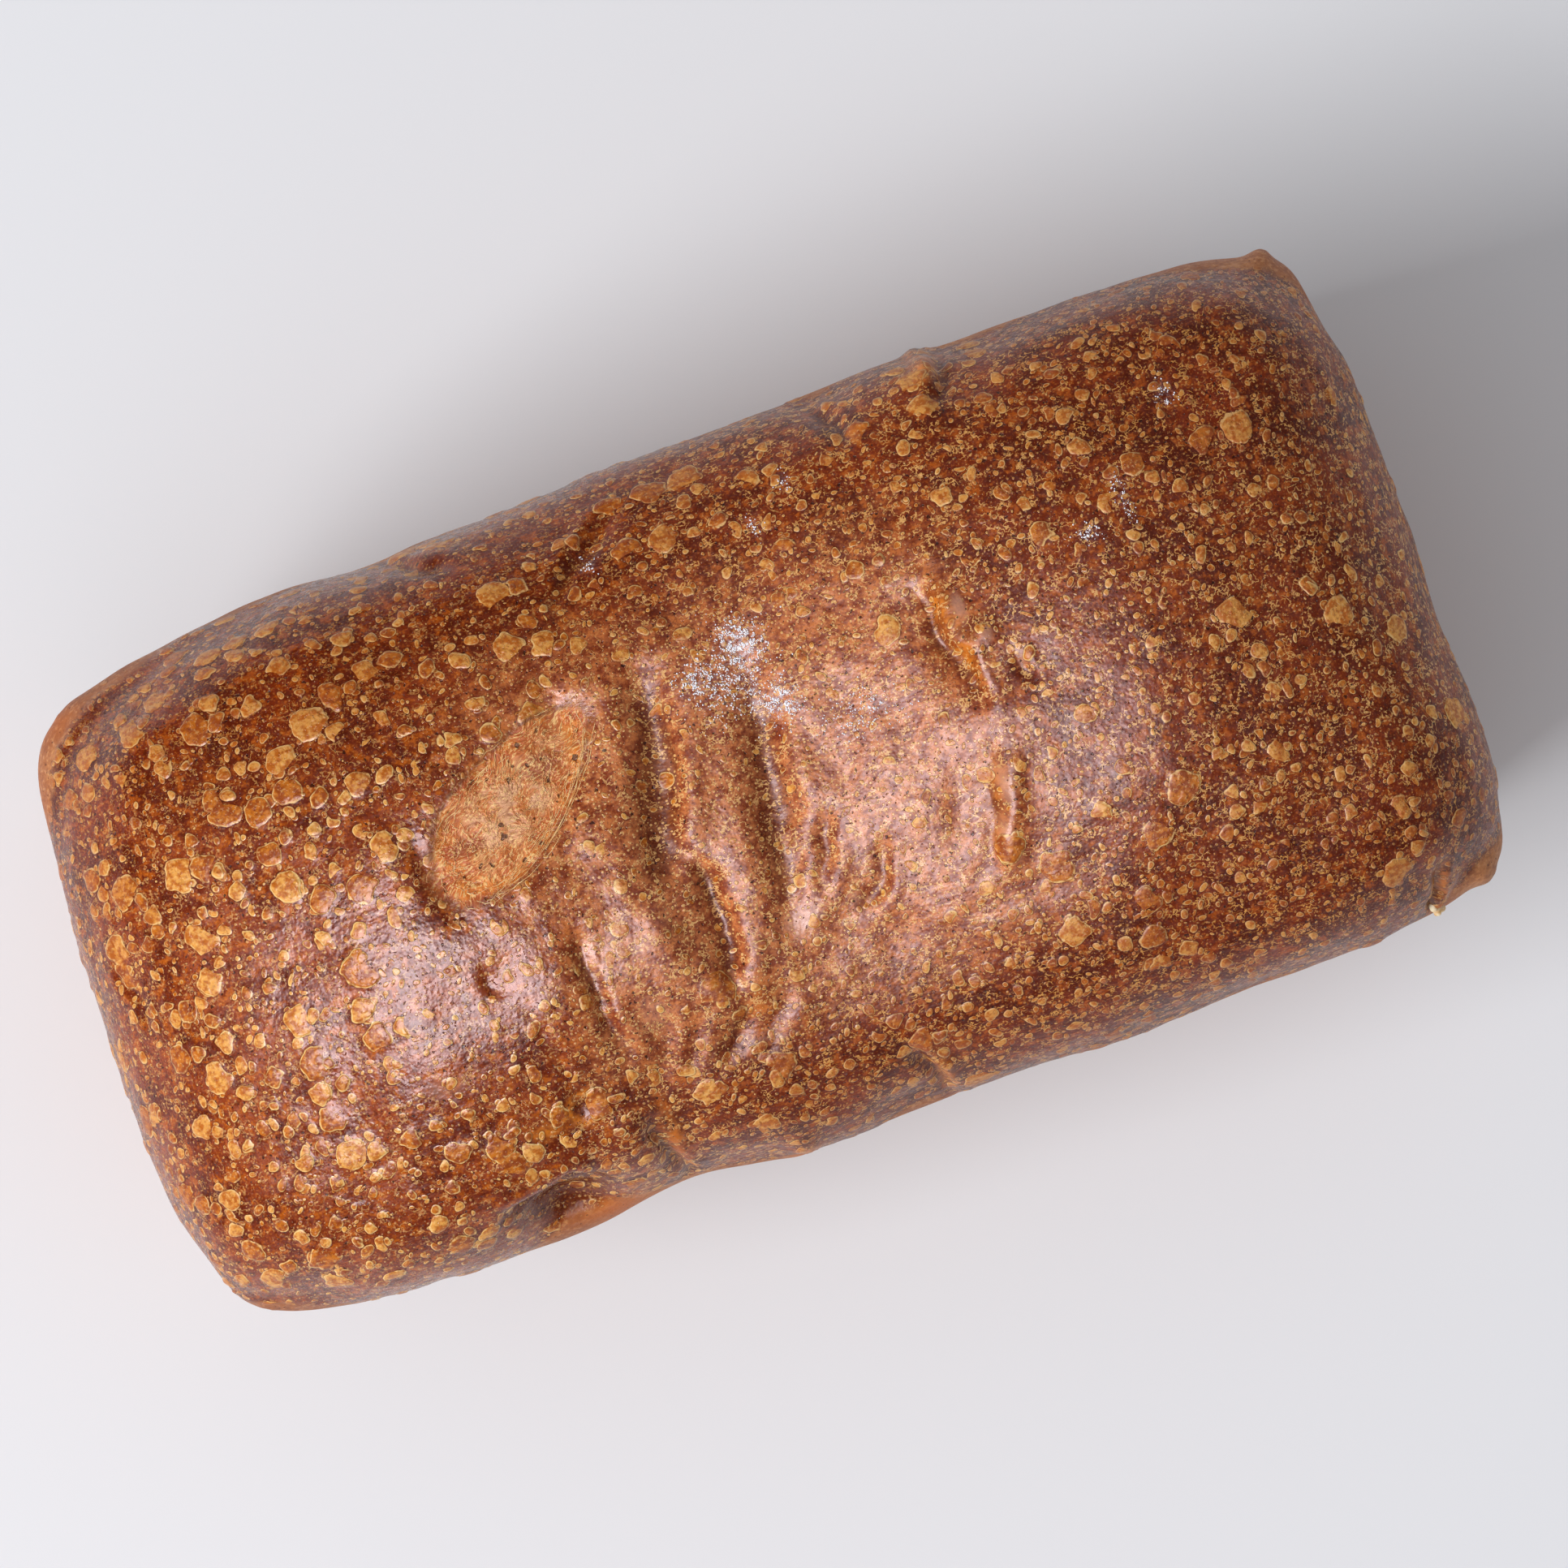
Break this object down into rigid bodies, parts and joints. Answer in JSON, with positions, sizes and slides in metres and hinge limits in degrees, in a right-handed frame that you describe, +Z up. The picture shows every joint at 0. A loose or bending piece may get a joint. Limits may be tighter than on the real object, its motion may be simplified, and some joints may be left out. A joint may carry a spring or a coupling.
{
  "type": "brioche loaf",
  "caption": "Whole brioche loaf baked in an open tin, with tapered sides and a glossy, blistered, wrinkled domed top.",
  "frame": {"origin": "middle of the flat base, on the surface that the loaf stands on", "axes": "+X along the loaf, towards the end that is at the right of the picture; +Z up"},
  "size_m": [0.2202, 0.1132, 0.1093],
  "materials": {
    "crust": "egg-washed baked crust: satin brown skin with golden blisters on top, plain matt amber tin sides and base"
  },
  "bodies": {
    "root": {"loaf": "crust"}
  },
  "joints": []
}
